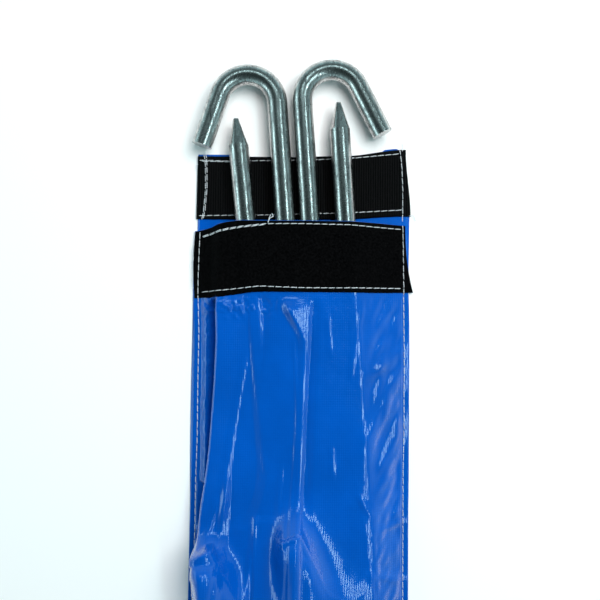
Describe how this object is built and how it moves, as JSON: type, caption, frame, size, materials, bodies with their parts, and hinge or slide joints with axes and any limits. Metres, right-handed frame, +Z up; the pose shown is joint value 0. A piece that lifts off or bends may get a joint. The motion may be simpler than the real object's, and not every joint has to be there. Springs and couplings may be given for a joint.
{
  "type": "ground stake set",
  "caption": "Open pouch of coated sheet with a fold-over flap and hook-and-loop tapes, holding round steel stakes with hooked ends and forged points",
  "frame": {"origin": "middle of the back panel's underside, where the pouch lies on the ground", "axes": "+X to the pouch's right seen from the front, +Y from its closed end to its mouth and the hooks, +Z up through the front panel"},
  "size_m": [0.13, 0.4052, 0.0346],
  "materials": {
    "zinc_plated_steel": "bright zinc plating over drawn bar, fine speckle and lengthwise streaks",
    "blue_pvc": "glossy blue PVC coating over a woven scrim that shows through",
    "black_hook_tape": "woven black tape set with stiff hooks",
    "black_loop_tape": "woven black tape with a soft brushed pile",
    "pale_thread": "twisted white polyester thread"
  },
  "bodies": {
    "pouch": {"back_panel": "blue_pvc", "front_panel": "blue_pvc", "front_loop_tape": "black_loop_tape", "side_seam_left_thread": "pale_thread", "side_seam_right_thread": "pale_thread", "bottom_seam_thread": "pale_thread", "loop_tape_top_thread": "pale_thread", "loop_tape_bottom_thread": "pale_thread", "side_seam_left_bobbin": "pale_thread", "side_seam_right_bobbin": "pale_thread", "bottom_seam_bobbin": "pale_thread", "loop_tape_top_bobbin": "pale_thread", "loop_tape_bottom_bobbin": "pale_thread"},
    "flap": {"flap_panel": "blue_pvc", "flap_hook_tape": "black_hook_tape", "flap_tape_thread": "pale_thread", "flap_tape_bobbin": "pale_thread"},
    "stake_hook_left": {"stake_hook_left": "zinc_plated_steel"},
    "stake_hook_right": {"stake_hook_right": "zinc_plated_steel"},
    "stake_point_left": {"stake_point_left": "zinc_plated_steel"},
    "stake_point_right": {"stake_point_right": "zinc_plated_steel"}
  },
  "joints": [
    {"name": "stake_hook_left_slide", "type": "slide", "parent": "pouch", "child": "stake_hook_left", "axis": [-0.0778, 0.997, 0], "range_m": [-0.007, 0.3]},
    {"name": "stake_hook_right_slide", "type": "slide", "parent": "pouch", "child": "stake_hook_right", "axis": [-0.0718, 0.9974, 0], "range_m": [-0.005, 0.3]},
    {"name": "stake_point_left_slide", "type": "slide", "parent": "pouch", "child": "stake_point_left", "axis": [-0.1093, 0.994, 0], "range_m": [-0.06, 0.007]},
    {"name": "stake_point_right_slide", "type": "slide", "parent": "pouch", "child": "stake_point_right", "axis": [-0.0698, 0.9976, 0], "range_m": [-0.06, 0.005]},
    {"name": "flap_fold", "type": "hinge", "parent": "pouch", "child": "flap", "pos_m": [0, 0.15515, 0], "axis": [1, 0, 0], "range_deg": [-170, 0]}
  ]
}
